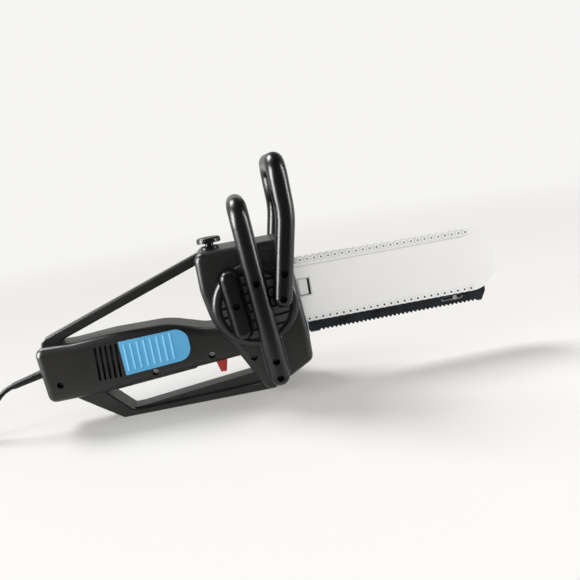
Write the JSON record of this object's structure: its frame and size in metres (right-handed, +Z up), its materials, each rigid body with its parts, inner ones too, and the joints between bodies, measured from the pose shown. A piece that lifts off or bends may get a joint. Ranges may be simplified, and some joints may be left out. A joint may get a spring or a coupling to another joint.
{
  "type": "electric carving knife",
  "caption": "Electric carving knife shaped like a small chainsaw, with reciprocating toothed blades under a moulded guide bar, trigger handle, loop handles and mains cord",
  "frame": {"origin": "on the flat underside of the lower guard, midway along it, on the seam plane of the housing", "axes": "+X along the blades towards their tips, +Z up, +Y towards the object's left side, away from the pull handle"},
  "size_m": [0.6399, 0.1756, 0.2405],
  "materials": {
    "housing_black": "fine satin texture",
    "handle_black": "smooth, soft gloss",
    "insert_blue": "soft, matte",
    "trigger_red": "smooth",
    "bar_grey": "moulded, fine grain",
    "blade_steel": "ground along the blade",
    "driver_white": "moulded",
    "guide_plastic": "moulded",
    "screw_steel": "blackened",
    "motor_steel": "plated",
    "magnet": "sintered",
    "brass": "turned",
    "copper": "segmented",
    "board_green": "printed circuit board",
    "component_black": "moulded",
    "wire_black": "insulated",
    "cord_black": "soft, matte",
    "prong_brass": "drawn",
    "spring_steel": "drawn wire"
  },
  "bodies": {
    "housing": {"housing_left": "housing_black", "housing_right": "housing_black", "housing_screws": "screw_steel", "front_handle": "handle_black", "hand_guard": "handle_black", "loop_screws": "screw_steel", "pull_handle": "handle_black", "pull_handle_screw": "screw_steel", "lower_guard": "housing_black", "top_strut": "housing_black", "grip_insert_left": "insert_blue", "grip_insert_right": "insert_blue", "motor_can": "motor_steel", "motor_end_plate": "guide_plastic", "motor_magnets": "magnet", "motor_brushes": "magnet", "shaft_bushes": "brass", "fan_shroud": "component_black", "driver_guide": "guide_plastic", "wheel_axle": "motor_steel", "guide_bar": "bar_grey", "bar_pins": "motor_steel", "trigger_pin": "motor_steel", "micro_switch": "component_black", "button_collar": "handle_black", "rectifier_board": "board_green", "board_components": "component_black", "cord_clamp": "guide_plastic", "cord_tail": "cord_black", "cord_boot": "cord_black", "motor_leads": "wire_black", "cord": "cord_black", "cord_coil": "cord_black", "mains_plug": "cord_black", "plug_prongs": "prong_brass"},
    "rotor": {"rotor_shaft": "motor_steel", "rotor_core": "motor_steel", "commutator": "copper", "cooling_fan": "component_black", "worm": "brass"},
    "wheel": {"worm_wheel": "guide_plastic"},
    "right_blade": {"blade_right": "blade_steel", "blade_driver_right": "driver_white"},
    "left_blade": {"blade_left": "blade_steel", "blade_driver_left": "driver_white"},
    "trigger": {"trigger": "trigger_red", "trigger_spring": "spring_steel"},
    "top_button": {"lock_button": "handle_black", "button_spring": "spring_steel"}
  },
  "joints": [
    {"name": "rotor_spin", "type": "hinge", "parent": "housing", "child": "rotor", "pos_m": [0, 0, 0.068], "axis": [1, 0, 0], "continuous": true},
    {"name": "wheel_turn", "type": "hinge", "parent": "housing", "child": "wheel", "pos_m": [0.062, 0, 0.0864], "axis": [0, 1, 0], "continuous": true},
    {"name": "right_blade_stroke", "type": "slide", "parent": "housing", "child": "right_blade", "axis": [1, 0, 0], "range_m": [-0.003, 0.003]},
    {"name": "left_blade_stroke", "type": "slide", "parent": "housing", "child": "left_blade", "axis": [1, 0, 0], "range_m": [-0.003, 0.003]},
    {"name": "trigger_pull", "type": "hinge", "parent": "housing", "child": "trigger", "pos_m": [0.033, 0, 0.052], "axis": [0, 1, 0], "range_deg": [0, 12], "stiffness_Nm_per_rad": 0.12, "springref_deg": -8.59, "deforming": ["trigger_spring"]},
    {"name": "button_press", "type": "slide", "parent": "housing", "child": "top_button", "axis": [0, 0, -1], "range_m": [0, 0.0035], "stiffness_N_per_m": 300, "springref_m": -0.003, "deforming": ["button_spring"]}
  ],
  "couplings": [
    {"joint": "wheel_turn", "follows": "rotor_spin", "ratio": 0.035714},
    {"joint": "left_blade_stroke", "follows": "right_blade_stroke", "ratio": -1}
  ]
}
